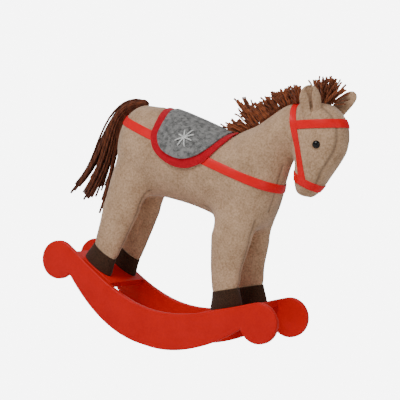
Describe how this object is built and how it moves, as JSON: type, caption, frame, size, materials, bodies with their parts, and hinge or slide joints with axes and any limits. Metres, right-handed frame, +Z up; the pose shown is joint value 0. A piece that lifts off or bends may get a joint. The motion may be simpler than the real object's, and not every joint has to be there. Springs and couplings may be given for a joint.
{
  "type": "rocking horse",
  "caption": "Small plush toy horse with felt saddle, ribbon halter and yarn mane and tail, fixed on two curved painted boards that rock.",
  "frame": {"origin": "middle of the whole object's footprint, on the floor that the rockers rest on, with the frame level", "axes": "+X towards the horse's nose, +Y to the horse's left, +Z up"},
  "size_m": [0.342, 0.0886, 0.3368],
  "materials": {
    "paint": "satin",
    "steel": "polished",
    "velour": "matte",
    "fibrefill": "matte",
    "hoof_felt": "matte",
    "red_felt": "matte",
    "grey_felt": "matte",
    "satin": "satin",
    "yarn": "matte",
    "thread": "matte",
    "beech": "satin",
    "black_plastic": "gloss"
  },
  "bodies": {
    "horse": {"rocker_right": "paint", "rocker_left": "paint", "front_slat": "paint", "rear_slat": "paint", "front_nail_right": "steel", "front_hoof_right": "hoof_felt", "front_leg_dowel_right": "beech", "front_hoof_screw_right": "steel", "front_leg_filling_right": "fibrefill", "front_nail_left": "steel", "front_hoof_left": "hoof_felt", "front_leg_dowel_left": "beech", "front_hoof_screw_left": "steel", "front_leg_filling_left": "fibrefill", "rear_nail_right": "steel", "rear_hoof_right": "hoof_felt", "rear_leg_dowel_right": "beech", "rear_hoof_screw_right": "steel", "rear_leg_filling_right": "fibrefill", "rear_nail_left": "steel", "rear_hoof_left": "hoof_felt", "rear_leg_dowel_left": "beech", "rear_hoof_screw_left": "steel", "rear_leg_filling_left": "fibrefill", "trunk_filling": "fibrefill", "neck_filling": "fibrefill", "head_filling": "fibrefill", "under_gusset": "velour", "face_gusset": "velour", "side_panel_right": "velour", "side_panel_left": "velour", "eye_right": "black_plastic", "eye_washer_right": "black_plastic", "ear_right": "velour", "eye_left": "black_plastic", "eye_washer_left": "black_plastic", "ear_left": "velour", "body_ribbon": "satin", "crown_ribbon": "satin", "brow_ribbon": "satin", "nose_ribbon": "satin", "saddle_backing": "red_felt", "saddle_top": "grey_felt", "star_right": "thread", "star_left": "thread", "mane_tape": "yarn", "mane_yarn": "yarn", "forelock_yarn": "yarn"},
    "tail_root": {"tail_binding": "yarn"},
    "tail": {"tail_yarn": "yarn"}
  },
  "joints": [
    {"name": "tail_lift", "type": "hinge", "parent": "horse", "child": "tail_root", "pos_m": [-0.0846, 0, 0.26], "axis": [0, 1, 0], "range_deg": [0, 60]},
    {"name": "tail_swing", "type": "hinge", "parent": "tail_root", "child": "tail", "pos_m": [-0.0846, 0, 0.26], "axis": [1, 0, 0], "range_deg": [-25, 25]}
  ]
}
